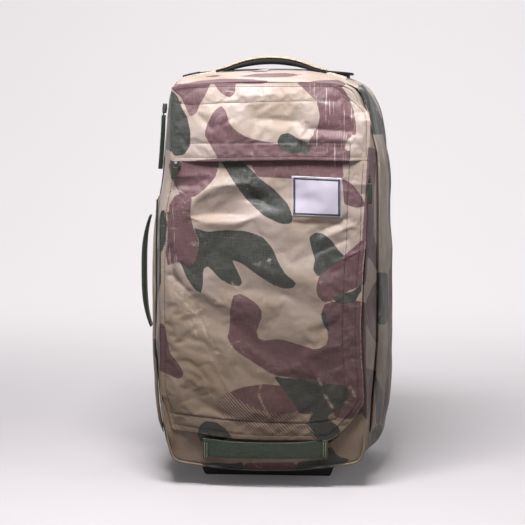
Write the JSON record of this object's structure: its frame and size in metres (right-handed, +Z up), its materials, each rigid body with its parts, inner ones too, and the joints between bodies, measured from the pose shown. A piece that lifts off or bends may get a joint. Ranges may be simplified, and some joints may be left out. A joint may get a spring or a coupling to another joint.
{
  "type": "rolling duffel bag",
  "caption": "Soft two-section wheeled duffel with a zipped front lid and pocket, trolley handle, skate wheels, base foot and carry handles.",
  "frame": {"origin": "centre of the front foot's resting face, on the bag's mid-plane", "axes": "+Z up, the front faces -Y, +X to the right of someone who looks at the front"},
  "size_m": [0.3835, 0.3356, 0.6306],
  "materials": {
    "camo_canvas": "waxed canvas, satin, printed in large camouflage shapes",
    "strap_canvas": "folded canvas",
    "green_webbing": "tightly woven webbing, slight sheen",
    "lining_fabric": "matt woven lining",
    "board_plastic": "polyethylene board",
    "black_plastic": "grained moulding",
    "button_plastic": "smooth moulding",
    "zip_coil": "coil and woven tape",
    "zip_metal": "dark nickel plate",
    "patch_film": "pale coated patch, bare",
    "tube_aluminium": "anodised",
    "wheel_tyre": "urethane",
    "wheel_core": "moulded core",
    "screw_steel": "zinc plated"
  },
  "bodies": {
    "rear_case": {"rear_left_gusset": "camo_canvas", "rear_top_gusset": "camo_canvas", "rear_right_gusset": "camo_canvas", "rear_bottom_gusset": "camo_canvas", "back_panel": "camo_canvas", "back_board": "board_plastic", "base_board": "board_plastic", "trolley_liner": "lining_fabric", "split_storm_flap": "camo_canvas", "split_zipper_rear": "zip_coil", "case_hinge_tape": "zip_coil", "front_foot": "black_plastic", "foot_screws": "screw_steel", "kick_plate": "black_plastic", "kick_screws": "screw_steel", "wheel_housing_left": "black_plastic", "wheel_housing_right": "black_plastic", "wheel_axles": "screw_steel", "handle_cup": "black_plastic", "fixed_tubes": "tube_aluminium", "tube_shoes": "black_plastic", "top_handle_anchors": "strap_canvas", "side_handle_anchors": "green_webbing"},
    "front_case": {"front_left_gusset": "camo_canvas", "front_top_gusset": "camo_canvas", "front_right_gusset": "camo_canvas", "front_bottom_gusset": "camo_canvas", "front_border": "camo_canvas", "divider_panel": "lining_fabric", "lid_zipper": "zip_coil", "split_zipper_front": "zip_coil", "bottom_handle": "green_webbing", "bottom_handle_tabs": "green_webbing"},
    "lid": {"lid_flap": "camo_canvas", "lid_pad": "lining_fabric", "front_pocket": "camo_canvas", "pocket_yoke": "camo_canvas", "pocket_zipper": "zip_coil", "name_patch": "patch_film"},
    "lid_slider": {"lid_slider": "zip_metal"},
    "lid_pull": {"lid_pull": "green_webbing"},
    "pocket_slider": {"pocket_slider": "zip_metal"},
    "pocket_pull": {"pocket_pull": "green_webbing"},
    "split_slider": {"split_slider": "zip_metal"},
    "split_pull": {"split_pull": "green_webbing"},
    "trolley_mid": {"mid_tubes": "tube_aluminium", "mid_collars": "black_plastic"},
    "trolley_grip": {"inner_tubes": "tube_aluminium", "trolley_grip": "black_plastic"},
    "grip_button": {"grip_button": "button_plastic"},
    "wheel_left": {"wheel_tyre_left": "wheel_tyre", "wheel_core_left": "wheel_core", "wheel_bearings_left": "screw_steel"},
    "wheel_right": {"wheel_tyre_right": "wheel_tyre", "wheel_core_right": "wheel_core", "wheel_bearings_right": "screw_steel"},
    "top_handle": {"top_handle": "strap_canvas"},
    "side_handle": {"side_handle": "green_webbing"}
  },
  "joints": [
    {"name": "case_hinge", "type": "hinge", "parent": "rear_case", "child": "front_case", "pos_m": [-0.173, -0.037, 0.32], "axis": [0, 0, -1], "range_deg": [0, 110]},
    {"name": "lid_hinge", "type": "hinge", "parent": "front_case", "child": "lid", "pos_m": [-0.146, -0.117, 0.335], "axis": [0, 0, -1], "range_deg": [0, 150]},
    {"name": "lid_zip", "type": "slide", "parent": "front_case", "child": "lid_slider", "axis": [0, 0, 1], "range_m": [-0.327, 0.077]},
    {"name": "lid_pull_swing", "type": "hinge", "parent": "lid_slider", "child": "lid_pull", "pos_m": [0.151, -0.11625, 0.46], "axis": [-1, 0, 0], "range_deg": [0, 170]},
    {"name": "pocket_zip", "type": "slide", "parent": "lid", "child": "pocket_slider", "axis": [1, 0, 0], "range_m": [0, 0.252]},
    {"name": "pocket_pull_swing", "type": "hinge", "parent": "pocket_slider", "child": "pocket_pull", "pos_m": [-0.126, -0.12565, 0.481], "axis": [-1, 0, 0], "range_deg": [0, 170]},
    {"name": "split_zip", "type": "slide", "parent": "rear_case", "child": "split_slider", "axis": [-0.0616, 0, -0.9981], "range_m": [0, 0.126]},
    {"name": "split_pull_swing", "type": "hinge", "parent": "split_slider", "child": "split_pull", "pos_m": [-0.16625, -0.037, 0.55647], "axis": [0, 1, 0], "range_deg": [0, 170]},
    {"name": "trolley_stage_one", "type": "slide", "parent": "rear_case", "child": "trolley_mid", "axis": [0, 0, 1], "range_m": [0, 0.2]},
    {"name": "trolley_stage_two", "type": "slide", "parent": "trolley_mid", "child": "trolley_grip", "axis": [0, 0, 1], "range_m": [0, 0.205]},
    {"name": "grip_button_press", "type": "slide", "parent": "trolley_grip", "child": "grip_button", "axis": [0, 0, -1], "range_m": [0, 0.0022], "stiffness_N_per_m": 1500, "springref_m": -0.001},
    {"name": "left_wheel_spin", "type": "hinge", "parent": "rear_case", "child": "wheel_left", "pos_m": [-0.122, 0.164, 0.036], "axis": [1, 0, 0], "continuous": true},
    {"name": "right_wheel_spin", "type": "hinge", "parent": "rear_case", "child": "wheel_right", "pos_m": [0.122, 0.164, 0.036], "axis": [1, 0, 0], "continuous": true},
    {"name": "top_handle_swing", "type": "hinge", "parent": "rear_case", "child": "top_handle", "pos_m": [0, 0.06425, 0.61411], "axis": [1, 0, 0], "range_deg": [-30, 30], "stiffness_Nm_per_rad": 0.08},
    {"name": "side_handle_swing", "type": "hinge", "parent": "rear_case", "child": "side_handle", "pos_m": [-0.187, 0.06425, 0.3], "axis": [0, 0, 1], "range_deg": [-30, 30], "stiffness_Nm_per_rad": 0.08}
  ]
}
